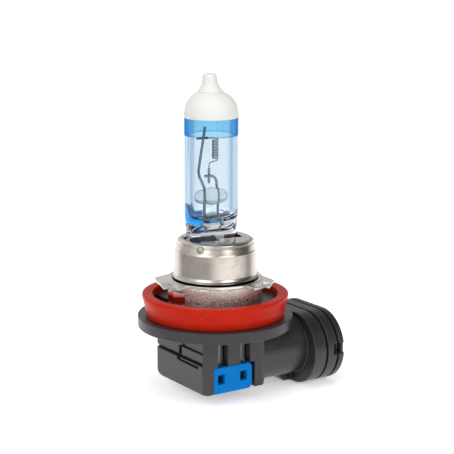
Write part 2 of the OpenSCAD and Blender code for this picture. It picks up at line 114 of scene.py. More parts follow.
class Board:
    """A node tree that is being wired."""

    def __init__(self, tree: bpy.types.NodeTree) -> None:
        """Keeps the tree and takes out what it came with."""
        self.tree = tree
        self.tree.nodes.clear()

    def node(self, kind: str, settings: Optional[dict] = None, values: Optional[dict] = None,
             out: Union[int, str] = 0) -> Optional[Plug]:
        """Adds one node.

        Args:
            kind: the node's type.
            settings: its properties, which are set first.
            values: a number, a colour, a Plug or a list of Plugs for each of its sockets.
            out: name or index of the output that is wanted.

        Returns:
            That output, or None for a node without outputs.
        """
        made = self.tree.nodes.new(kind)
        for key, value in (settings or {}).items():
            setattr(made, key, value)
        for key, value in (values or {}).items():
            links = value if isinstance(value, list) else [value]
            for link in links:
                if isinstance(link, Plug):
                    self.tree.links.new(link.socket, made.inputs[key])
                else:
                    made.inputs[key].default_value = link
        return Plug(self, made.outputs[out]) if len(made.outputs) else None


class Paint(Board):
    """A material's tree, with the patterns that the finishes share."""

    def place(self, stretch: Point = (1, 1, 1), turn: float = 0.0) -> Plug:
        """Object coordinates, turned about the lamp axis and stretched.

        Args:
            stretch: factor on each axis; a large one makes a fine pattern.
            turn: angle about Z in degrees.

        Returns:
            The mapped point.
        """
        point = self.node("ShaderNodeTexCoord", out="Object")
        return self.node("ShaderNodeMapping", {"vector_type": "POINT"}, {
            "Vector": point, "Rotation": (0, 0, math.radians(turn)), "Scale": stretch})

    def axis(self, point: Plug, name: str) -> Plug:
        """One coordinate of a point, in metres."""
        return self.node("ShaderNodeSeparateXYZ", {}, {0: point}, name)

    def span(self, operation: str, point: Plug, other: Point) -> Plug:
        """Distance or dot product of a point and a fixed one."""
        settings = {"operation": operation}
        return self.node("ShaderNodeVectorMath", settings, {0: point, 1: other}, "Value")

    def grain(self, point: Plug, scale: float, detail: float = 2.0, rough: float = 0.5) -> Plug:
        """Noise between 0 and 1 with its grains about 1/scale metres apart."""
        values = {"Vector": point, "Scale": scale, "Detail": detail, "Roughness": rough}
        return self.node("ShaderNodeTexNoise", {}, values)

    def cells(self, point: Plug, scale: float, out: str = "Distance", **settings: str) -> Plug:
        """Voronoi cells about 1/scale metres across."""
        return self.node("ShaderNodeTexVoronoi", settings, {"Vector": point, "Scale": scale}, out)

    def blend(self, low: Union[Colour, Plug], high: Union[Colour, Plug], share: Term) -> Plug:
        """Colour between low and high."""
        ends = [c if isinstance(c, Plug) else (*c, 1.0) for c in (low, high)]
        values = {0: share, 6: ends[0], 7: ends[1]}
        return self.node("ShaderNodeMix", {"data_type": "RGBA"}, values, 2)

    def bump(self, height: Plug, depth: float, under: Optional[Plug] = None) -> Plug:
        """Normal of a surface that rises by depth metres where height is 1."""
        values = {"Strength": 1.0, "Distance": depth, "Height": height}
        return self.node("ShaderNodeBump", {}, {**values, **({"Normal": under} if under else {})})


class Recipe(Board):
    """A geometry tree with named inputs for its sizes."""

    def __init__(self, name: str, sizes: dict[str, Union[int, float]]) -> None:
        """Makes the tree and its inputs.

        Args:
            name: name of the tree.
            sizes: each input's name and its usual value.
        """
        super().__init__(bpy.data.node_groups.new(name, "GeometryNodeTree"))
        face = self.tree.interface
        face.new_socket("Geometry", in_out="INPUT", socket_type="NodeSocketGeometry")
        for label, value in sizes.items():
            kind = "NodeSocketInt" if isinstance(value, int) else "NodeSocketFloat"
            face.new_socket(label, in_out="INPUT", socket_type=kind).default_value = value
        face.new_socket("Geometry", in_out="OUTPUT", socket_type="NodeSocketGeometry")
        self.entry = self.tree.nodes.new("NodeGroupInput")

    def size(self, label: str) -> Plug:
        """The input of that name."""
        return Plug(self, self.entry.outputs[label])

    def tube(self, path: Plug) -> Plug:
        """A round wire along a curve, by the inputs Wire Radius and Sides."""
        ring = self.node("GeometryNodeCurvePrimitiveCircle", {"mode": "RADIUS"}, {
            "Resolution": self.size("Sides"), "Radius": self.size("Wire Radius")})
        skin = self.node("GeometryNodeCurveToMesh", {}, {
            "Curve": path, "Profile Curve": ring, "Fill Caps": True})
        return self.node("GeometryNodeSetShadeSmooth", {}, {0: skin})

    def close(self, shape: Plug, material: bpy.types.Material) -> None:
        """Ends the tree with real geometry in one material."""
        real = self.node("GeometryNodeRealizeInstances", {}, {0: shape})
        done = self.node("GeometryNodeSetMaterial", {}, {"Geometry": real, "Material": material})
        self.node("NodeGroupOutput", {}, {0: done})

    def grow(self, seed: bpy.types.Object, sizes: dict[str, Union[int, float]]) -> bpy.types.Object:
        """Runs the tree on an object and keeps the result as its plain mesh.

        Args:
            seed: the object that holds the path or the points.
            sizes: values for the named inputs.

        Returns:
            The same object, with the new mesh and no modifier.
        """
        modifier = seed.modifiers.new("Recipe", "NODES")
        modifier.node_group = self.tree
        for item in self.tree.interface.items_tree:
            if item.in_out == "INPUT" and item.name in sizes:
                modifier[item.identifier] = sizes[item.name]
        bake(seed)
        return seed


# ---------------------------------------------------------------- finishes


class Brushing(Enum):
    """Which way the fine lines of a metal surface run."""

    NONE = (1.0, 1.0, 1.0)
    AROUND = (0.05, 0.05, 1.0)
    ALONG = (1.0, 1.0, 0.05)


@dataclass(frozen=True)
class Finish:
    """A surface finish: the numbers that are the same all over, and what varies."""

    SHADER: ClassVar[dict[str, object]] = {}

    name: str
    colour: Colour
    roughness: float = 0.4

    def fixed(self) -> dict[str, object]:
        """Values of the shader's own sockets."""
        return {"Base Color": (*self.colour, 1.0), "Roughness": self.roughness, **self.SHADER}

    def varied(self, paint: Paint) -> dict[str, Plug]:
        """Links for the sockets that vary over the surface."""
        return {}

    def surface(self, paint: Paint) -> Plug:
        """The finish's shader."""
        return paint.node("ShaderNodeBsdfPrincipled", {}, {**self.fixed(), **self.varied(paint)})

    def material(self) -> bpy.types.Material:
        """The material of this finish, made once.

        Returns:
            A material that is named for the finish.
        """
        made = bpy.data.materials.get(self.name)
        if made is None:
            made = bpy.data.materials.new(self.name)
            made.use_nodes = True
            paint = Paint(made.node_tree)
            paint.node("ShaderNodeOutputMaterial", {}, {"Surface": self.surface(paint)})
        return made


@dataclass(frozen=True)
class SatinMetal(Finish):
    """Drawn, stamped or rolled metal with fine lines, soft blotches, handling marks and, where set,
    painted shade near the axis.
    """

    stain: Colour = (0.4, 0.35, 0.3)
    stain_share: float = 0.35
    brushing: Brushing = Brushing.NONE
    line_scale: float = 9000.0
    line_depth: float = 1.2e-6
    dent_depth: float = 1.5e-5
    spots: tuple[Point, ...] = ()
    # Colour of the heat tint round the weld spots; the same colour is painted as shade inside the
    # radius below.
    heat_tint_and_shade: Colour = (0.16, 0.12, 0.09)
    painted_shade_r: float = 0.0

    SHADER = {"Metallic": 1.0}

    def varied(self, paint: Paint) -> dict[str, Plug]:
        """Blotched colour and roughness over lines and shallow dents."""
        point = paint.place()
        lines = paint.grain(paint.place(self.brushing.value), self.line_scale, 3.0, 0.6)
        blotch = paint.grain(point, 420.0, 3.0, 0.6)
        specks = paint.grain(point, 5200.0, 2.0, 0.7)
        dull = blotch.ramp(0.42, 0.72) * self.stain_share + specks.ramp(0.62, 0.8) * 0.2
        fine = paint.bump(lines, self.line_depth)
        colour = paint.blend(self.colour, self.stain, dull)
        for spot in self.spots:
            far = paint.span("DISTANCE", point, spot)
            colour = paint.blend(colour, self.heat_tint_and_shade, far.ramp(0.00082, 0.0007) * 0.75)
        # Painted shade: inside this radius from the axis the metal is darkened, standing in for the
        # shadow in the gap under the cap's rim.
        if self.painted_shade_r:
            out = paint.span("DISTANCE", paint.place((1.0, 1.0, 0.0)), (0.0, 0.0, 0.0))
            colour = paint.blend(colour, self.heat_tint_and_shade, out.ramp(self.painted_shade_r, self.painted_shade_r - 0.0002))
        return {
            "Base Color": colour,
            "Roughness": self.roughness + (blotch - 0.5) * 0.22 + (lines - 0.5) * 0.16,
            "Normal": paint.bump(paint.grain(point, 260.0, 1.0), self.dent_depth, fine)}


@dataclass(frozen=True)
class SinteredMetal(Finish):
    """Pressed powder metal: a rough granular skin whose grains glint."""

    # Colour painted into the low parts of the grain: painted shade in the pits.
    pit: Colour = (0.64, 0.56, 0.51)
    grain_scale: float = 7500.0
    depth: float = 1.7e-5

    SHADER = {"Metallic": 1.0}

    def varied(self, paint: Paint) -> dict[str, Plug]:
        """Grains, with painted shade darkening the pits between them."""
        point = paint.place()
        coarse = paint.grain(point, self.grain_scale, 4.0, 0.75)
        grains = paint.cells(point, self.grain_scale * 1.3, feature="F1")
        glint = paint.axis(paint.cells(point, self.grain_scale * 1.3, "Color"), "X")
        height = coarse * 0.7 + grains * 0.5
        # Painted shade: the colour darkens where the coarse grain surface is low, in the pits.
        return {
            "Base Color": paint.blend(self.colour, self.pit, coarse.ramp(0.62, 0.4)),
            "Roughness": glint.ramp(0.2, 0.9, 0.62, 0.18),
            "Normal": paint.bump(height, self.depth)}


@dataclass(frozen=True)
class Silicone(Finish):
    """Soft moulded silicone with a bloom on top, fine texture and specks of dust."""

    bloom: Colour = (0.46, 0.022, 0.008)
    dust: Colour = (0.85, 0.8, 0.75)

    SHADER = {"Specular IOR Level": 0.09}

    def varied(self, paint: Paint) -> dict[str, Plug]:
        """Mottled red with dust specks over a matt moulded skin."""
        point = paint.place()
        mottle = paint.grain(point, 320.0, 3.0, 0.6)
        fine = paint.grain(point, 7000.0, 2.0, 0.6)
        speck = paint.cells(point, 1500.0).ramp(0.1, 0.05)
        speck = speck * paint.grain(point, 900.0).ramp(0.6, 0.68)
        red = paint.blend(self.colour, self.bloom, mottle.ramp(0.4, 0.75) * 0.6)
        return {
            "Base Color": paint.blend(red, self.dust, speck * 0.8),
            "Roughness": self.roughness + (mottle - 0.5) * 0.25 + speck * 0.3,
            "Normal": paint.bump(fine + mottle * 0.8, 1.4e-5)}


@dataclass(frozen=True)
class MouldedPlastic(Finish):
    """Injection-moulded plastic with a spark-eroded skin, flow marks and light scuffs."""

    worn: Colour = (0.08, 0.08, 0.085)
    scuff_share: float = 0.3
    skin_depth: float = 1.2e-5
    gloss: float = 0.5

    def fixed(self) -> dict[str, object]:
        """Values of the shader's own sockets."""
        return {**super().fixed(), "Specular IOR Level": self.gloss}

    def varied(self, paint: Paint) -> dict[str, Plug]:
        """Cloudy colour, scuffs in thin scattered lines, and a fine skin."""
        point = paint.place()
        cloud = paint.grain(point, 240.0, 3.0, 0.6)
        skin = paint.grain(point, 5200.0, 2.0, 0.65)
        scratch = paint.grain(paint.place((0.12, 1.0, 1.0), 24.0), 2600.0, 2.0, 0.7)
        patch = paint.grain(point, 150.0, 2.0)
        scuff = scratch.ramp(0.63, 0.74) * patch.ramp(0.5, 0.68) * self.scuff_share
        dusty = paint.grain(point, 9000.0, 1.0).ramp(0.66, 0.8) * 0.25
        return {
            "Base Color": paint.blend(
                self.colour, self.worn, scuff + dusty + cloud.ramp(0.35, 0.8) * 0.12),
            "Roughness": self.roughness + (cloud - 0.5) * 0.2 + (skin - 0.5) * 0.1 - scuff * 0.1,
            "Normal": paint.bump(skin, self.skin_depth)}


@dataclass(frozen=True)
class Quartz(Finish):
    """Clear quartz or glass with a light tint, drawn lines and a painted rim shade; perhaps also a
    painted blue refraction patch at its foot and a painted reflection line up its wall.
    """

    ior: float = 1.46
    # Tint at grazing angles: painted rim shade, standing in for the darker edges that refraction
    # and the longer path through the wall give.
    edge: Colour = (0.24, 0.45, 0.72)
    clear: float = 1.0
    # Colour of the blue patch painted at the foot: a painted refraction of the blue band.
    deep: Colour = (0.01, 0.36, 0.95)
    bare: Colour = (0.97, 0.98, 0.99)
    # Colour and place of a thin dark line painted up the left wall: a painted reflection.
    dark: Colour = (0.03, 0.12, 0.4)
    reflection_line_x: float = -0.00497
    climb: float = 0.0022
    climb_x: Pair = (-0.0056, -0.0044)
    # Heights and span of the painted blue refraction patch at the foot.
    blue_patch_z: Optional[tuple[float, float, float]] = None
    blue_patch_x: Pair = (0.0, 0.0)
    turn: float = 0.0

    def fixed(self) -> dict[str, object]:
        """Values of the shader's own sockets."""
        return {**super().fixed(), "Transmission Weight": self.clear, "IOR": self.ior}

    def varied(self, paint: Paint) -> dict[str, Plug]:
        """Draw lines and a deeper tint at the edge, which is painted rim shade; where a blue patch
        is set, a bare foot and a dark line that is a painted reflection.
        """
        draw = paint.grain(paint.place((1.0, 1.0, 0.08)), 700.0, 2.0)
        # Painted rim shade: the colour moves towards the edge colour where the surface is seen at a
        # grazing angle.
        edge = paint.node("ShaderNodeLayerWeight", {}, {"Blend": 0.5}, "Facing")
        colour = paint.blend(self.colour, self.edge, edge.ramp(0.25, 0.65))
        if self.blue_patch_z:
            point = paint.place(turn=self.turn)
            z = paint.axis(point, "Z")
            colour = paint.blend(self.bare, colour, z.ramp(*self.blue_patch_z[1:]))
            # Painted reflection: a thin dark blue line up the left wall of the tube, fading in
            # above about 19 mm.
            off = paint.axis(point, "X") - self.reflection_line_x
            line = off.maths("ABSOLUTE", off).ramp(0.00011, 0.00004) * z.ramp(0.019, 0.026)
            colour = paint.blend(colour, self.dark, line * 0.9)
        return {"Normal": paint.bump(draw, 6e-6), "Base Color": colour}

    def blue_patch(self, paint: Paint) -> Plug:
        """Where the blue patch is painted, standing in for the blue band seen refracted through the
        thick foot: a corner of the foot and a thin run.

        Args:
            paint: the material's tree.

        Returns:
            Share of the painted blue patch, from 0 to 1.
        """
        point = paint.place(turn=self.turn)
        waves = paint.grain(point, 420.0, 3.0, 0.6) - 0.5
        x, z = paint.axis(point, "X"), paint.axis(point, "Z") + waves * 0.0011
        start, level, end = self.blue_patch_z
        top = z - x.ramp(self.climb_x[1], self.climb_x[0]) * self.climb
        corner = top.ramp(end, level) * x.ramp(self.blue_patch_x[1], self.blue_patch_x[0])
        corner = corner * z.ramp(start, start + 0.0003)
        streak = paint.grain(paint.place((0.5, 0.5, 2.2)), 900.0, 2.0).ramp(0.52, 0.6)
        band = z.ramp(start + 0.0016, start + 0.0013) * z.ramp(start + 0.0006, start + 0.0009)
        run = band * streak * x.ramp(self.blue_patch_x[1] + 0.0062, self.blue_patch_x[0] + 0.006)
        return corner.maths("MAXIMUM", corner, run * 0.8)

    def surface(self, paint: Paint) -> Plug:
        """The glass, with the painted blue patch mixed in where one is set."""
        glass = super().surface(paint)
        if not self.blue_patch_z:
            return glass
        # Opaque blue mixed into the glass: painted refraction of the blue band through the thick
        # foot.
        blue_patch_shader = paint.node("ShaderNodeBsdfPrincipled", {}, {
            "Base Color": (*self.deep, 1.0), "Roughness": 0.15, "Specular IOR Level": 0.2})
        share = self.blue_patch(paint) * 0.9
        return paint.node("ShaderNodeMixShader", {}, {0: share, 1: glass, 2: blue_patch_shader})


@dataclass(frozen=True)
class FilterCoat(Finish):
    """Thin transparent colour on glass, deeper at the edge, which is painted rim shade, and where
    its dip ended.
    """

    # Deeper blue, used for the thick lower edge and for painted rim shade at grazing angles.
    rim: Colour = (0.03, 0.4, 0.82)
    end_z: Pair = (0.0278, 0.02805)

    SHADER = {"Transmission Weight": 1.0, "IOR": 1.06}

    def varied(self, paint: Paint) -> dict[str, Plug]:
        """Colour that deepens towards the rim, as painted rim shade, and towards the lower edge,
        with faint dip lines.
        """
        # Painted rim shade: the blue deepens where the coat is seen at a grazing angle.
        edge = paint.node("ShaderNodeLayerWeight", {}, {"Blend": 0.5}, "Facing")
        streaks = paint.grain(paint.place((1.0, 1.0, 0.3)), 700.0, 3.0)
        bead = paint.axis(paint.place(), "Z").ramp(self.end_z[1], self.end_z[0])
        share = edge.ramp(0.2, 0.75) * 0.9 + bead * 0.5 + streaks.ramp(0.5, 0.75) * 0.25
        return {"Base Color": paint.blend(self.colour, self.rim, share)}


@dataclass(frozen=True)
class OpaqueCoat(Finish):
    """Opaque baked coat with a faint orange peel."""

    shade: Colour = (0.66, 0.665, 0.64)
    seam: Colour = (0.3, 0.34, 0.36)
    line_z: float = 0.03572

    def varied(self, paint: Paint) -> dict[str, Plug]:
        """Slightly cloudy white over soft bumps."""
        point = paint.place()
        cloud = paint.grain(point, 380.0, 3.0, 0.6)
        z = paint.axis(point, "Z") + (cloud - 0.5) * 0.00012
        line = (z - self.line_z).maths("ABSOLUTE", z - self.line_z).ramp(0.00007, 0.00001)
        line = line * paint.grain(point, 150.0).ramp(0.35, 0.55)
        white = paint.blend(self.colour, self.shade, cloud.ramp(0.5, 0.8) * 0.5)
        return {
            "Base Color": paint.blend(white, self.seam, line * 0.55),
            "Roughness": self.roughness + (cloud - 0.5) * 0.2,
            "Normal": paint.bump(paint.grain(point, 1800.0, 2.0), 2e-5)}


@dataclass(frozen=True)
class Backdrop(Finish):
    """Matt white paper, lit a little from below."""

    lit: float = 0.38

    def fixed(self) -> dict[str, object]:
        """Values of the shader's own sockets."""
        return {**super().fixed(), "Emission Color": (1.0, 1.0, 1.0, 1.0),
                "Emission Strength": self.lit, "Specular IOR Level": 0.1}

    def varied(self, paint: Paint) -> dict[str, Plug]:
        """A hardly visible paper tone."""
        cloud = paint.grain(paint.place(), 4.0)
        return {"Base Color": paint.blend(self.colour, (0.93, 0.93, 0.93), cloud * 0.5)}


WELDS = tuple((0.0073 * math.cos(a), 0.0073 * math.sin(a), 0.00715)
              for a in (math.radians(214.6 + 120 * k) for k in range(3)))


@dataclass(frozen=True)
class Finishes:
    """All finishes of the lamp."""

    # The tube's foot gets a painted blue refraction patch, and its wall a painted reflection line.
    quartz: Quartz = Quartz("quartz_blue_tint", (0.83, 0.915, 0.97), 0.0, turn=33.5,
                            blue_patch_z=(0.0109, 0.0122, 0.0126), blue_patch_x=(-0.0029, -0.0022))
    # The bar's edge colour is painted rim shade, greyer where it is seen at a grazing angle.
    bridge: Quartz = Quartz("fire_polished_glass", (0.9, 0.93, 0.94), 0.12, ior=1.22,
                            edge=(0.62, 0.72, 0.78), clear=0.85)
    coat: OpaqueCoat = OpaqueCoat("white_baked_coat", (0.72, 0.72, 0.69), 0.5)
    band: FilterCoat = FilterCoat("blue_filter_coat", (0.58, 0.84, 0.97), 0.0)
    tungsten: SatinMetal = SatinMetal("tungsten_wire", (0.2, 0.21, 0.25), 0.3)
    wire: SatinMetal = SatinMetal("molybdenum_wire", (0.25, 0.29, 0.35), 0.24,
                                  brushing=Brushing.ALONG)
    sleeve: SatinMetal = SatinMetal("molybdenum_tube", (0.4, 0.43, 0.49), 0.35)
    clamp: SatinMetal = SatinMetal("clamp_strip", (0.1, 0.11, 0.14), 0.4)
    foil: SatinMetal = SatinMetal("etched_foil", (0.55, 0.56, 0.58), 0.35)
    clip: SatinMetal = SatinMetal("dark_spring_steel", (0.12, 0.125, 0.13), 0.35)
    cap: SatinMetal = SatinMetal("satin_drawn_metal", (0.84, 0.775, 0.7), 0.2,
                                 stain=(0.5, 0.43, 0.36), brushing=Brushing.AROUND,
                                 spots=WELDS)
    weld: SatinMetal = SatinMetal("weld_metal", (1.0, 0.99, 0.97), 0.35)
    # The lug plate is painted near black inside its inner radius: painted shade in the gap under
    # the cap.
    lug: SatinMetal = SatinMetal("stamped_metal", (0.95, 0.93, 0.9), 0.2,
                                 stain=(0.5, 0.45, 0.38), heat_tint_and_shade=(0.02, 0.02, 0.02), painted_shade_r=0.00835)
    ring: SinteredMetal = SinteredMetal("sintered_metal", (1.0, 0.93, 0.88), 0.4)
    key: SatinMetal = SatinMetal("polished_steel", (0.86, 0.84, 0.82), 0.07,
                                 stain=(0.6, 0.55, 0.5), stain_share=0.1)
    silicone: Silicone = Silicone("moulded_red_silicone", (0.44, 0.012, 0.002), 0.32)
    plastic: MouldedPlastic = MouldedPlastic("black_moulding", (0.019, 0.019, 0.022), 0.3)
    insert: MouldedPlastic = MouldedPlastic("blue_moulding", (0.0, 0.15, 0.47), 0.3,
                                            worn=(0.0, 0.24, 0.62), skin_depth=6e-6, gloss=0.06)
    contact: SatinMetal = SatinMetal("tinned_strip", (0.2, 0.205, 0.21), 0.35)
    paper: Backdrop = Backdrop("white_paper", (0.96, 0.96, 0.96), 0.9)


FINISHES = Finishes()


# ---------------------------------------------------------------- meshes


def bake(shape: bpy.types.Object) -> None:
    """Turns an object with modifiers into its plain evaluated mesh.

    Args:
        shape: the object, which keeps its name and loses its modifiers.
    """
    state = bpy.context.evaluated_depsgraph_get()
    mesh = bpy.data.meshes.new_from_object(shape.evaluated_get(state))
    shape.modifiers.clear()
    shape.data = mesh


def arc(centre: Pair, radius: float, start: float, end: float, steps: int) -> list[Pair]:
    """Points on an arc.

    Args:
        centre: centre of the arc.
        radius: its radius.
        start: angle of the first point, in degrees.
        end: angle of the last point.
        steps: number of intervals.

    Returns:
        The points, both ends included.
    """
    turns = [math.radians(start + (end - start) * k / steps) for k in range(steps + 1)]
    return [(centre[0] + radius * math.cos(a), centre[1] + radius * math.sin(a)) for a in turns]


def eased(outline: Sequence[tuple[float, float, float]], steps: int = 5,
          loop: bool = False) -> list[Pair]:
    """Rounds the corners of a polyline.

    Args:
        outline: corners as (x, y, radius of the rounding).
        steps: intervals in each rounded corner.
        loop: whether the last corner joins the first.

    Returns:
        The points of the rounded line.
    """
    points: list[Pair] = []
    count = len(outline)
    for i, (x, y, radius) in enumerate(outline):
        here = Vector((x, y))
        if radius <= 0 or (not loop and i in (0, count - 1)):
            points.append((x, y))
            continue
        before = Vector(outline[i - 1][:2]) - here
        after = Vector(outline[(i + 1) % count][:2]) - here
        half = before.angle(after) / 2
        reach = min(radius / math.tan(half), 0.49 * before.length, 0.49 * after.length)
        start, end = here + before.normalized() * reach, here + after.normalized() * reach
        for k in range(steps + 1):
            t = k / steps
            points.append(tuple((1 - t) ** 2 * start + 2 * t * (1 - t) * here + t * t * end))
    return points


class Form:
    """A mesh that is being made, in millimetres."""

    def __init__(self) -> None:
        """Starts empty."""
        self.bm = bmesh.new()

    def skin(self, rings: Sequence[Ring], loop: bool = False, capped: bool = False,
             inward: bool = False) -> "Form":
        """Joins rings of points with faces, as one closed shell.

        Args:
            rings: rings with the same number of points; a ring of one point is a pole.
            loop: whether the last ring joins the first.
            capped: whether the first and last rings get a flat face.
            inward: whether the faces point in, as they do round a cavity.

        Returns:
            The form itself.
        """
        made = [[self.bm.verts.new(Vector(p) * MM) for p in ring] for ring in rings]
        faces = []
        for a, b in zip(made, made[1:] + made[:1] if loop else made[1:]):
            count = max(len(a), len(b))
            for k in range(count):
                n = (k + 1) % count
                corners = [a[k % len(a)], a[n % len(a)], b[n % len(b)], b[k % len(b)]]
                corners = list(dict.fromkeys(corners))
                if len(corners) > 2:
                    faces.append(self.bm.faces.new(corners))
        if capped:
            faces += [self.bm.faces.new(made[0][::-1]), self.bm.faces.new(made[-1])]
        bmesh.ops.recalc_face_normals(self.bm, faces=faces)
        if inward:
            bmesh.ops.reverse_faces(self.bm, faces=faces)
        return self

    def lathe(self, profile: Sequence[Pair], segments: int = 128, loop: bool = False,
              inward: bool = False, stir: Optional[Callable[[Vector], Vector]] = None) -> "Form":
        """Turns a profile about Z.

        Args:
            profile: points as (radius, height); radius 0 makes a pole.
            segments: faces in one turn.
            loop: whether the last point joins the first.
            inward: whether the faces point in.
            stir: moves each point a little, for a surface that isn't quite true.

        Returns:
            The form itself.
        """
        rings = []
        for radius, height in profile:
            turns = [2 * math.pi * k / segments for k in range(segments if radius > 1e-6 else 1)]
            ring = [Vector((radius * math.cos(a), radius * math.sin(a), height)) for a in turns]
            rings.append([stir(p) for p in ring] if stir else ring)
        return self.skin(rings, loop, inward=inward)

    def path(self, points: Sequence[Point]) -> "Form":
        """Adds an open line of edges."""
        made = [self.bm.verts.new(Vector(p) * MM) for p in points]
        for a, b in zip(made, made[1:]):
            self.bm.edges.new((a, b))
        return self

    def copy_of(self, node: str) -> "Form":
        """Takes a CAD node's shape, with its loose triangles merged into flat faces."""
        self.bm.from_mesh(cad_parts[node].data)
        bmesh.ops.remove_doubles(self.bm, verts=self.bm.verts, dist=2e-6)
        bmesh.ops.dissolve_limit(self.bm, angle_limit=math.radians(0.8), verts=self.bm.verts,
                                 edges=self.bm.edges)
        return self

    def made(self, name: str, finish: Finish, place: Optional[Matrix] = None,
             crease: float = 32.0) -> bpy.types.Object:
        """Makes the object.

        Args:
            name: name of the piece.
            finish: its finish.
            place: where the shape goes; it ends up in the mesh.
            crease: angle in degrees past which an edge is shaded sharp.

        Returns:
            The object, at the origin.
        """
        mesh = bpy.data.meshes.new(name)
        if place is not None:
            self.bm.transform(place)
        self.bm.to_mesh(mesh)
        self.bm.free()
        mesh.shade_smooth()
        mesh.set_sharp_from_angle(angle=math.radians(crease))
        mesh.materials.append(finish.material())
        shape = bpy.data.objects.new(name, mesh)
        bpy.context.scene.collection.objects.link(shape)
        return shape


def softened(shape: bpy.types.Object, width: float, steps: int = 2) -> bpy.types.Object:
    """Rounds the sharp edges of a piece where the faces beside them are wide enough.

    Args:
        shape: the piece.
        width: width of the rounding in millimetres.
        steps: faces across the rounding.

    Returns:
        The same piece.
    """
    bm = bmesh.new()
    bm.from_mesh(shape.data)
    weight = bm.edges.layers.float.new("bevel_weight_edge")
    for edge in bm.edges:
        if edge.is_manifold and edge.calc_face_angle() > SHARP_TURN:
            depth = min(face.calc_area() for face in edge.link_faces) / edge.calc_length()
            edge[weight] = float(depth > 1.6 * width * MM and edge.calc_length() > width * MM)
    bm.to_mesh(shape.data)
    bm.free()
    edges = shape.modifiers.new("Edges", "BEVEL")
    edges.width, edges.segments = width * MM, steps
    edges.limit_method = "WEIGHT"
    edges.use_clamp_overlap = False
    edges.miter_outer = "MITER_ARC"
    flat = shape.modifiers.new("Flat faces", "WEIGHTED_NORMAL")
    flat.weight, flat.keep_sharp = 100, True
    bake(shape)
    return shape


def joined(shape: bpy.types.Object, other: bpy.types.Object, operation: str) -> bpy.types.Object:
    """Adds or cuts one closed shape with another, which is used up.

    Args:
        shape: the shape that stays.
        other: the shape that is added or cut away.
        operation: UNION or DIFFERENCE.

    Returns:
        The first shape.
    """
    step = shape.modifiers.new("Join", "BOOLEAN")
    step.object, step.operation, step.solver = other, operation, "EXACT"
    bake(shape)
    bpy.data.objects.remove(other)
    return shape


def settle(piece: bpy.types.Object, slot: str, *nodes: str) -> bpy.types.Object:
    """Ties a piece to the frame and reports it.

    Args:
        piece: the finished piece.
        slot: not used.
        nodes: the CAD nodes that it stands for.

    Returns:
        The piece.
    """
    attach(piece, "root")
    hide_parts(*nodes)
    LOG.info("%s for %s: %d faces", piece.name, ", ".join(nodes), len(piece.data.polygons))
    return piece


def refined(node: str, name: str, finish: Finish, slot: str, width: float = 0.0,
            steps: int = 2) -> None:
    """Makes a piece from a CAD node's shape, with its edges rounded.

    Args:
        node: the CAD node.
        name: name of the piece.
        finish: its finish.
        slot: a material slot's name, passed on to settle.
        width: width of the rounding in millimetres; 0 leaves the edges sharp.
        steps: faces across the rounding.
    """
    piece = Form().copy_of(node).made(name, finish)
    settle(softened(piece, width, steps) if width else piece, slot, node)


def keep(node: str, finish: Finish) -> None:
    """Shows a CAD node as it is, in a good finish."""
    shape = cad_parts[node]
    shape.data.materials.clear()
    shape.data.materials.append(finish.material())
    for slot in shape.material_slots:
        slot.material = finish.material()
    LOG.info("%s kept from the CAD", node)


# ---------------------------------------------------------------- burner


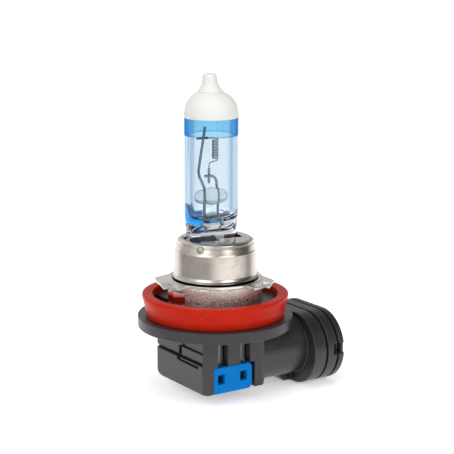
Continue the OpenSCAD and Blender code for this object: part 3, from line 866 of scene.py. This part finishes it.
@dataclass
class Burner:
    """Quartz tube with its coats, filament, supports and pinch seal."""

    shift: Pair = (-0.62, 0.41)
    turn: float = -13.5
    tube_r: float = 5.0
    wall: float = 1.0
    foot_z: float = 11.0
    floor_z: float = 12.25
    dome_z: float = 31.0
    dome_h: float = 5.0
    neck_z: float = 35.65
    tip_z: float = 39.0
    coat_z: float = 30.95
    band_z: float = 27.68
    coat_t: float = 0.06
    support_x: float = 1.34
    support_r: float = 0.25
    support_bend: float = 0.8
    wire_r: float = 0.1
    coil_r: float = 0.54
    coil_z: Pair = (23.25, 26.75)
    coil_turns: int = 12
    pinch_sizes: tuple[tuple[float, float, float, float], ...] = (
        (1.2, 8.9, 2.5, 9.0), (1.5, 9.2, 2.8, 9.0), (8.6, 9.2, 2.8, 9.0), (9.3, 9.24, 3.1, 8.0),
        (9.9, 9.3, 3.9, 6.0), (10.4, 9.4, 5.2, 4.4), (10.9, 9.5, 6.9, 3.2), (11.4, 9.55, 8.4, 2.4),
        (11.9, 9.4, 9.2, 2.0))
    worked_z: float = 8.6
    foot_round: float = 1.4
    sides: int = 144
    levels: tuple[float, ...] = (16.0, 20.0, 24.0, 28.0)
    coat_gap: float = 0.012
    slope: float = 0.07
    tip_lean: float = 0.27
    dome_power: float = 2.4
    neck_h: float = 1.85
    bridge_z: float = 16.1
    bridge_len: float = 6.56

    def place(self) -> Matrix:
        """Where the burner's own frame lies in the lamp."""
        move = Matrix.Translation((self.shift[0] * MM, self.shift[1] * MM, 0))
        return move @ Matrix.Rotation(math.radians(self.turn), 4, "Z")

    def coil_axis(self) -> Pair:
        """The lamp axis in the burner's own frame."""
        point = self.place().inverted() @ Vector((0, 0, 0)) / MM
        return point.x, point.y

    def outline(self, grow: float = 0.0) -> list[Pair]:
        """Outer outline of the glass from the foot's corner up to the tip.

        Args:
            grow: how far the outline stands off the glass.

        Returns:
            Points as (radius, height).
        """
        def shoulder(z: float) -> float:
            """Radius of the dome at a height above its foot."""
            return self.tube_r * (1 - (z / self.dome_h) ** self.dome_power) ** (1 / self.dome_power)

        rises = [self.dome_h * 0.916 * math.sin(math.radians(90 * k / 30)) for k in range(31)]
        corner = (self.tube_r - self.foot_round, self.foot_z + self.foot_round)
        points = arc(corner, self.foot_round + grow, -90, 0, 10)
        points += [(self.tube_r + grow, z) for z in self.levels]
        points += [(shoulder(z) + grow, self.dome_z + z) for z in rises]
        points += [(1.4 + 1.05 * (1 - k / 12) ** 1.5 + grow, self.neck_z + self.neck_h * k / 12)
                   for k in range(13)]
        tip = eased([(1.37, 37.7, 0), (1.31, 38.05, 0.4), (1.26, 38.6, 0.5), (1.02, 38.99, 0.45),
                     (0, self.tip_z - 0.03, 0)], 6)
        return points + [(r + grow, z + grow * (z > 38.8)) if r > 0 else (0, z + grow)
                         for r, z in tip]

    def section(self, z: float, width: float, depth: float, power: float) -> list[Point]:
        """Cross-section of the pinch: a superellipse, from nearly a rectangle to round.

        Args:
            z: its height.
            width: size along X.
            depth: size along Y.
            power: 2 for an ellipse, more for squarer corners.

        Returns:
            Its points.
        """
        points, high = [], max(0.0, z - self.worked_z)
        for k in range(96):
            c, n = math.cos(2 * math.pi * k / 96), math.sin(2 * math.pi * k / 96)
            wave = 0.12 * noise.noise(Vector((c * 1.7, n * 1.7, z * 0.8))) * high / 2
            points.append((math.copysign(abs(c) ** (2 / power), c) * (width / 2 + wave),
                           math.copysign(abs(n) ** (2 / power), n) * (depth / 2 + wave),
                           z + self.slope * c * width / 2 * min(1.0, high / 2)))
        return points

    def lean(self, p: Vector) -> Vector:
        """Moves a point of the tip, which is off the axis, or of the foot, which slopes."""
        rise = min(1.0, max(0.0, (p.z - self.dome_z - 2.5) / 4.0))
        foot = self.slope * p.x * min(1.0, max(0.0, (14.5 - p.z) / 3))
        aside = self.tip_lean * rise * rise * (3 - 2 * rise)
        return p + Vector((-0.94 * aside, 0.342 * aside, foot))

    def glass(self) -> None:
        """Tube, dome, tip and pinch as one body of glass round one cavity."""
        def stir(p: Vector) -> Vector:
            """Waves the foot of the tube, which is worked in the flame."""
            low = max(0.0, 1 - abs(p.z - self.floor_z) / 1.6)
            lift = noise.noise(p * 0.45 + Vector((3.1, 0.4, 7.7))) * 0.34 * low
            return p + Vector((0, 0, lift + self.slope * p.x * min(1.0, 2 * low)))

        tube = Form().lathe([(0, self.foot_z)] + self.outline(), self.sides, stir=self.lean).made(
            "quartz_envelope", FINISHES.quartz, self.place())
        seal = [self.section(*size) for size in self.pinch_sizes]
        pinch = Form().skin(seal, capped=True).made("pinch", FINISHES.quartz, self.place())
        joined(tube, pinch, "UNION")
        r = self.tube_r - self.wall
        power, height = self.dome_power, self.dome_h - self.wall
        rises = [height * 0.93 * math.sin(math.radians(90 * k / 24)) for k in range(25)]
        cavity = [(0, self.floor_z + 0.15), (1.2, self.floor_z + 0.05)]
        cavity += arc((r - 1.3, self.floor_z + 1.3), 1.3, -90, 0, 8)
        cavity += [(r, z) for z in self.levels]
        cavity += [(r * (1 - (z / height) ** power) ** (1 / power), self.dome_z + z)
                   for z in rises] + [(0.5, 35.1), (0, 35.3)]
        inner = Form().lathe(cavity, self.sides, inward=True, stir=stir)
        inner.bm.transform(self.place())
        whole = Form()
        whole.bm.from_mesh(tube.data)
        inner_mesh = bpy.data.meshes.new("cavity")
        inner.bm.to_mesh(inner_mesh)
        whole.bm.from_mesh(inner_mesh)
        bpy.data.objects.remove(tube)
        settle(whole.made("quartz_envelope", FINISHES.quartz, crease=50),
               "tube_glass", "glass_envelope")

    def shell(self, low: float, high: float) -> list[Pair]:
        """Closed profile of a thin coat on the glass between two heights.

        Args:
            low: lower edge of the coat.
            high: upper edge; past the tip, the coat closes over it.

        Returns:
            Points as (radius, height), as a loop or from pole to pole.
        """
        def between(grow: float) -> list[Pair]:
            """Part of the outline, with its ends at the coat's edges."""
            line = self.outline(grow)
            inside = [p for p in line if low < p[1] and (p[1] < high or high > self.tip_z)]
            last = [] if high > self.tip_z else [(self.tube_r + grow, high)]
            return [(self.tube_r + grow, low)] + inside + last

        outer, inner = between(self.coat_t), between(self.coat_gap)
        outer[0] = (outer[0][0] - 0.02, low)
        outer.insert(1, (outer[1][0], low + 0.03))
        return outer + inner[::-1]

    def coats(self) -> None:
        """The opaque coat on the dome and the blue band below it."""
        dome = self.shell(self.coat_z + 0.01, self.tip_z + 1)
        white = Form().lathe(dome, self.sides, True, stir=self.lean).made(
            "antiglare_dome_coat", FINISHES.coat, self.place(), 60)
        settle(white, "opaque_coat", "antiglare_coat")
        band = Form().lathe(self.shell(self.band_z, self.coat_z - 0.01), self.sides, True).made(
            "blue_band_coat", FINISHES.band, self.place(), 60)
        settle(band, "filter_coat", "blue_filter_band")

    def filament(self) -> None:
        """Tungsten wire: two legs and the winding between them."""
        cx, cy = self.coil_axis()
        low, high = self.coil_z
        sizes = {"Turns": float(self.coil_turns), "Coil Radius": self.coil_r * MM,
                 "Coil Height": (high - low) * MM, "Coil X": cx * MM, "Coil Y": cy * MM,
                 "Coil Z": low * MM, "Wire Radius": self.wire_r * MM, "Sides": 10}
        recipe = Recipe("winding", sizes)
        spiral = recipe.node("GeometryNodeCurveSpiral", {}, {
            "Resolution": 28, "Rotations": recipe.size("Turns"),
            "Start Radius": recipe.size("Coil Radius"), "End Radius": recipe.size("Coil Radius"),
            "Height": recipe.size("Coil Height")})
        at = recipe.node("ShaderNodeCombineXYZ", {}, {
            axis: recipe.size(f"Coil {axis}") for axis in "XYZ"})
        placed = recipe.node("GeometryNodeTransform", {}, {"Geometry": spiral, "Translation": at})
        legs = recipe.node("GeometryNodeMeshToCurve", {}, {"Mesh": recipe.size("Geometry")})
        smooth = recipe.node("GeometryNodeFilletCurve", {"mode": "POLY"}, {
            "Curve": legs, "Count": 5, "Radius": 0.25 * MM, "Limit Radius": True})
        both = recipe.node("GeometryNodeJoinGeometry", {}, {0: [placed, smooth]})
        recipe.close(recipe.tube(both), FINISHES.tungsten.material())
        x = cx + self.coil_r
        paths = Form().path([(-2.2, 0.38, 27.1), (-0.5, 0.38, 27.1), (0.5, 0.1, 27.1),
                             (1.05, -0.15, 27.07), (x, cy - 0.12, high + 0.12), (x, cy, high),
                             (x - 0.1, cy + 0.3, high - 0.02)])
        paths.path([(x - 0.1, cy - 0.3, low + 0.02), (x, cy, low), (x, cy + 0.2, low - 0.14),
                    (1.1, -0.2, 22.85), (0.4, -0.15, 22.72), (-0.21, -0.08, 22.58),
                    (-0.42, -0.02, 22.3), (-0.46, 0, 21.9), (-0.46, 0, 18.9)])
        wire = recipe.grow(paths.made("tungsten_filament", FINISHES.tungsten), sizes)
        wire.data.transform(self.place())
        settle(wire, "tungsten", "filament")

    def supports(self) -> None:
        """The two bent support wires and the little tube on the lower leg."""
        sizes = {"Wire Radius": self.support_r * MM, "Bend Radius": self.support_bend * MM,
                 "Sides": 20}
        recipe = Recipe("bent_wire", sizes)
        line = recipe.node("GeometryNodeMeshToCurve", {}, {"Mesh": recipe.size("Geometry")})
        bent = recipe.node("GeometryNodeFilletCurve", {"mode": "POLY"}, {
            "Curve": line, "Count": 8, "Radius": recipe.size("Bend Radius"), "Limit Radius": True})
        recipe.close(recipe.tube(bent), FINISHES.wire.material())
        x, y = self.support_x, -0.5
        routes = {
            "long_support": [(-x, 0, 8), (-x, 0, 17.7), (-2.3, 0, 19.9), (-2.47, 0, 20.9),
                             (-2.35, 0, 22), (-1.21, 0, 29.26)],
            "short_support": [(x, 0, 8), (x, 0, 17.3), (0.98, y / 2, 18.1), (0.88, y, 18.9),
                              (0.62, y, 19.6), (0.12, y, 20.02), (-0.4, y, 20.1), (-1.5, y, 20.08)]}
        for node, route in routes.items():
            wire = recipe.grow(Form().path(route).made(f"{node}_wire", FINISHES.wire), sizes)
            wire.data.transform(self.place())
            settle(wire, "support_metal", node)
        tube = eased([(0.12, 18.6, 0.02), (0.25, 18.6, 0.05), (0.25, 21.44, 0.05),
                      (0.12, 21.44, 0.02)], 3, True)
        at = Matrix.Translation((-0.46 * MM, 0, 0))
        sleeve = Form().lathe(tube, 32, True)
        settle(sleeve.made("leg_sleeve_tube", FINISHES.sleeve, self.place() @ at),
               "support_metal", "leg_sleeve")
        refined("filament_clamp", "filament_clamp_strip", FINISHES.clamp, "support_metal", 0.05)

    def bridge(self) -> None:
        """The clear glass bar that ties the supports, in soft lobes."""
        half = self.bridge_len / 2

        def radius(x: float) -> float:
            """Radius of the bar at a distance from its middle."""
            bulge = 1.36 + 0.32 * math.exp(-(x / 0.85) ** 2)
            bulge -= 0.13 * math.exp(-((abs(x) - self.support_x) / 0.24) ** 2)
            return bulge * math.sqrt(max(0.0, 1 - abs(x / half) ** 5))

        line = [(radius(x), x) for x in (-half * math.cos(math.pi * k / 48) for k in range(1, 48))]
        lying = Matrix.Rotation(math.pi / 2, 4, "Y")
        lying.translation.z = self.bridge_z * MM
        bar = Form().lathe([(0, -half)] + line + [(0, half)], 64)
        settle(bar.made("glass_bridge_bar", FINISHES.bridge, self.place() @ lying, 60),
               "bridge_glass", "glass_bridge")

    def build(self) -> None:
        """Makes and dresses every piece of the burner."""
        self.glass()
        self.coats()
        self.filament()
        self.supports()
        self.bridge()
        for side in ("left", "right"):
            keep(f"{side}_foil", FINISHES.foil)
            keep(f"{side}_outer_lead", FINISHES.wire)


# ---------------------------------------------------------------- holder


@dataclass
class Holder:
    """Metal cap, spring clip, lug plate and locating ring."""

    burner: Burner
    top_z: float = 8.22
    sheet: float = 0.3
    slot_half: Pair = (5.85, 1.75)
    bay: tuple[float, float, float] = (-4.8, 0.6, 1.7)
    rim_r: float = 8.1
    ring_r: float = 8.93
    ring_wall: float = 1.3
    ring_z: Pair = (-5.0, 0.1)

    def slot(self, grow: float) -> list[Pair]:
        """Outline of the cap's opening in the burner's frame, counter-clockwise.

        Args:
            grow: how far the outline is moved outwards.

        Returns:
            Its corners, with rounded ones eased.
        """
        x, y = self.slot_half[0] + grow, self.slot_half[1] + grow
        left, right, deep = self.bay[0] - grow, self.bay[1] + grow, self.bay[2]
        front = [(-x, -y, 0.15), (left, -y, 0.1), (left, -y - deep, 0.3), (right, -y - deep, 0.3),
                 (right, -y, 0.1), (x, -y, 0.3)]
        return eased(front + [(-a, -b, r) for a, b, r in front], 4, True)

    def rays(self, outline: Sequence[Pair], count: int = 240) -> list[Pair]:
        """Points where evenly turned rays from the middle cross an outline.

        Args:
            outline: corners of a shape that each ray leaves once.
            count: number of rays.

        Returns:
            One point for each ray.
        """
        points = []
        for k in range(count):
            ray = Vector((math.cos(2 * math.pi * k / count), math.sin(2 * math.pi * k / count)))
            for a, b in zip(outline, list(outline[1:]) + [outline[0]]):
                a, b = Vector(a), Vector(b)
                side = b - a
                bend = ray.cross(side)
                if abs(bend) > 1e-9 and a.cross(side) / bend > 0 and 0 <= a.cross(ray) / bend <= 1:
                    points.append(tuple(ray * (a.cross(side) / bend)))
                    break
        return points

    def cap(self) -> None:
        """The drawn cap: flat top with its opening, stepped shoulder, flared rim."""
        side = eased([(6.0, 8.22, 0), (6.62, 8.22, 0.5), (7.12, 7.95, 0.35), (7.2, 7.33, 0.08),
                      (7.3, 7.24, 0.05), (7.52, 6.16, 0.12), (7.6, 5.98, 0.1), (7.7, 4.8, 1.0),
                      (7.7, 1.7, 0.5), (7.84, 1.2, 0.3), (self.rim_r, 1.02, 0.05)], 5)
        t = self.sheet
        back = eased([(self.rim_r - 0.04, 0.88, 0.05), (7.62, 1.0, 0.3), (7.4, 1.8, 0.5),
                      (7.4, 4.8, 1), (7.24, 6.0, 0.1), (6.9, 7.3, 0.2), (6.8, 7.7, 0.2),
                      (6.0, 8.22 - t, 0)], 4)
        place = self.burner.place()
        edge, hole = self.rays(self.slot(0.07)), self.rays(self.slot(0.0))

        def lifted(outline: Sequence[Pair], z: float) -> list[Vector]:
            """Puts the opening's outline into the lamp's frame."""
            return [place @ (Vector((x, y, z)) * MM) / MM for x, y in outline]

        turn = math.radians(self.burner.turn)
        spread = [2 * math.pi * k / len(hole) + turn for k in range(len(hole))]
        rings = [lifted(edge, self.top_z)]
        rings += [[(r * math.cos(a), r * math.sin(a), z) for a in spread] for r, z in side + back]
        rings += [lifted(hole, self.top_z - t), lifted(hole, self.top_z - 0.07)]
        form = Form().skin(rings, True)
        cap = form.made("cap_shell_drawn", FINISHES.cap, crease=40)
        settle(cap, "cap_metal", "cap_shell")

    def build(self) -> None:
        """Makes and dresses every piece of the holder."""
        self.cap()
        refined("cap_weld_spots", "cap_weld_pips", FINISHES.weld, "cap_metal")
        refined("pinch_clip", "pinch_spring_clip", FINISHES.clip, "clip_steel", 0.05)
        refined("lug_plate", "bayonet_lug_plate", FINISHES.lug, "lug_metal", 0.07)
        self.ring()
        refined("keying_block", "polished_keying_block", FINISHES.key, "key_metal", 0.12, 3)

    def ring(self) -> None:
        """The rough locating ring, whose skin isn't quite true."""
        r, wall = self.ring_r, self.ring_wall

        def stir(p: Vector) -> Vector:
            """Grains of the pressed powder."""
            side = Vector((p.x, p.y, 0)).normalized()
            return p + side * (noise.noise(p * 3.1) * 0.035 - 0.02)

        low, high = self.ring_z
        walls = [(r, low + (high - low) * k / 26) for k in range(1, 26)]
        profile = [(r - 0.1, low)] + walls + [(r - 0.12, high), (r - wall, high), (r - wall, low)]
        ring = Form().lathe(profile, 224, True, stir=stir)
        settle(ring.made("sintered_locating_ring", FINISHES.ring), "ring_metal", "locating_ring")


# ---------------------------------------------------------------- base


@dataclass
class Base:
    """Sealing ring, moulded housing with its connector, insert and contacts."""

    flange_z: float = -6.6
    gasket_foot_r: float = 13.14
    gasket_top_r: float = 13.9
    gasket_in_r: float = 11.88
    gasket_h: float = 4.2

    def gasket(self) -> None:
        """The red sealing ring, soft at every corner, with a fine parting line."""
        z0, z1 = self.flange_z, self.flange_z + self.gasket_h
        top, foot, inside = self.gasket_top_r, self.gasket_foot_r, self.gasket_in_r
        mid = (foot + (top - foot) * 0.5, z0 + self.gasket_h * 0.5)
        profile = eased([
            (inside, z0, 0.1), (foot, z0, 0.3), (*mid, 2.0), (top, z1 - 0.6, 1.0),
            (top, z1, 0.62), (inside, z1, 0.32)], 7, True)

        def stir(p: Vector) -> Vector:
            """Slight waves of a soft moulding."""
            side = Vector((p.x, p.y, 0)).normalized()
            return p + side * noise.noise(p * 0.25) * 0.04

        ring = Form().lathe(profile, 192, True, stir=stir)
        settle(ring.made("silicone_sealing_ring", FINISHES.silicone, crease=60),
               "red_silicone", "gasket")

    def build(self) -> None:
        """Makes and dresses every piece of the base."""
        self.gasket()
        refined("base_housing", "base_moulding", FINISHES.plastic, "black_plastic", 0.16, 3)
        refined("terminal_insert", "blue_terminal_insert", FINISHES.insert, "blue_plastic", 0.12, 3)
        for node in ("far_contact", "near_contact"):
            keep(node, FINISHES.contact)


# ---------------------------------------------------------------- studio


@dataclass
class SoftBox:
    """A large square lamp that points at the object."""

    name: str
    at: Point
    size: float
    power: float

    def hang(self) -> None:
        """Makes the light and aims it."""
        data = bpy.data.lights.new(self.name, "AREA")
        data.shape, data.size, data.energy = "SQUARE", self.size, self.power
        lamp = bpy.data.objects.new(self.name, data)
        bpy.context.scene.collection.objects.link(lamp)
        lamp.location = self.at
        lamp.visible_camera = lamp.visible_glossy = False
        lamp.rotation_euler = (-Vector(self.at)).to_track_quat("-Z", "Y").to_euler()


@dataclass
class Studio:
    """Paper floor, soft light and the camera."""

    floor_z: float = -0.02215
    floor_r: float = 0.075
    camera_at: Point = (-0.14543, -0.21972, 0.06553)
    heading: float = -33.985
    pitch: float = 11.87
    roll: float = 0.138
    lens: float = 113.23
    boxes: list[SoftBox] = field(default_factory=lambda: [
        SoftBox("key_box", (-0.40, -0.02, 0.24), 0.34, 0.7),
        SoftBox("fill_box", (0.20, -0.40, 0.16), 0.26, 0.7),
        SoftBox("left_box", (-0.34, -0.26, 0.16), 0.24, 0.05),
        SoftBox("top_box", (-0.05, -0.1, 0.5), 0.4, 0.9)])

    def world(self) -> None:
        """Soft light from all sides, with pure white behind the object."""
        world = bpy.data.worlds.new("studio")
        bpy.context.scene.world = world
        world.use_nodes = True
        paint = Paint(world.node_tree)
        way = paint.node("ShaderNodeTexCoord", out="Generated")

        def facing(x: float, y: float, z: float = 0.0) -> Plug:
            """How far a ray points along a direction, from -1 to 1."""
            return paint.span("DOT_PRODUCT", way, (x, y, z))

        back, ahead, left = facing(0.552, 0.834), facing(0.2, -0.98), facing(-0.834, 0.552)
        table = 0.17 + back.ramp(0.2, 0.85) * 0.87 + back.ramp(-0.2, -0.9) * 0.1
        table = table + ahead.ramp(0.3, 1.0) * 0.75 + left.ramp(0.2, 1.0) * 0.14
        sky = 0.05 + left.ramp(-0.35, 0.55) * 0.42 + back.ramp(0.0, -0.9) * 0.38
        sky = sky + facing(0.08, -0.86, 0.5).ramp(0.9, 0.97) * 1.3
        sky = sky + facing(-0.8, -0.35, 0.48).ramp(0.9, 0.96) * 0.8
        sky = sky + back.ramp(0.2, 1.0) * 0.34
        low = paint.axis(way, "Z").ramp(0.04, -0.02)
        level = low * table + (1 - low) * sky
        rays = paint.node("ShaderNodeLightPath", out="Is Camera Ray")
        white = level.maths("MAXIMUM", level, rays * 1.1)
        paint.node("ShaderNodeOutputWorld", {}, {"Surface": paint.node(
            "ShaderNodeBackground", {}, {"Color": (1.0, 1.0, 1.0, 1.0), "Strength": white})})

    def floor(self) -> None:
        """A round sheet of white paper under the object."""
        sheet = bpy.data.meshes.new("paper_floor")
        turns = [2 * math.pi * k / 96 for k in range(96)]
        r, z = self.floor_r, self.floor_z
        rim = [(r * math.cos(a), r * math.sin(a), z) for a in turns]
        sheet.from_pydata(rim, [], [tuple(range(96))])
        sheet.materials.append(FINISHES.paper.material())
        paper = bpy.data.objects.new("paper_floor", sheet)
        bpy.context.scene.collection.objects.link(paper)

    def camera(self) -> None:
        """The camera, level with the holder and a little above it."""
        data = bpy.data.cameras.new("camera")
        data.sensor_width, data.lens = 36.0, self.lens
        data.clip_start, data.clip_end = 0.01, 10.0
        body = bpy.data.objects.new("camera", data)
        bpy.context.scene.collection.objects.link(body)
        turn = Matrix.Rotation(math.radians(self.heading), 4, "Z")
        tilt = Matrix.Rotation(math.radians(90 - self.pitch), 4, "X")
        roll = Matrix.Rotation(math.radians(self.roll), 4, "Z")
        body.matrix_world = Matrix.Translation(self.camera_at) @ turn @ tilt @ roll
        bpy.context.scene.camera = body

    def build(self) -> None:
        """Sets up the studio."""
        bpy.context.scene.view_settings.view_transform = "Standard"
        self.world()
        self.floor()
        self.camera()
        for box in self.boxes:
            box.hang()


def main() -> None:
    """Builds the lamp and its studio."""
    logging.basicConfig(level=logging.INFO, format="%(name)s: %(message)s")
    burner = Burner()
    for part in (burner, Holder(burner), Base(), Studio()):
        LOG.info("building %s", type(part).__name__)
        part.build()


if __name__ == "__main__":
    main()
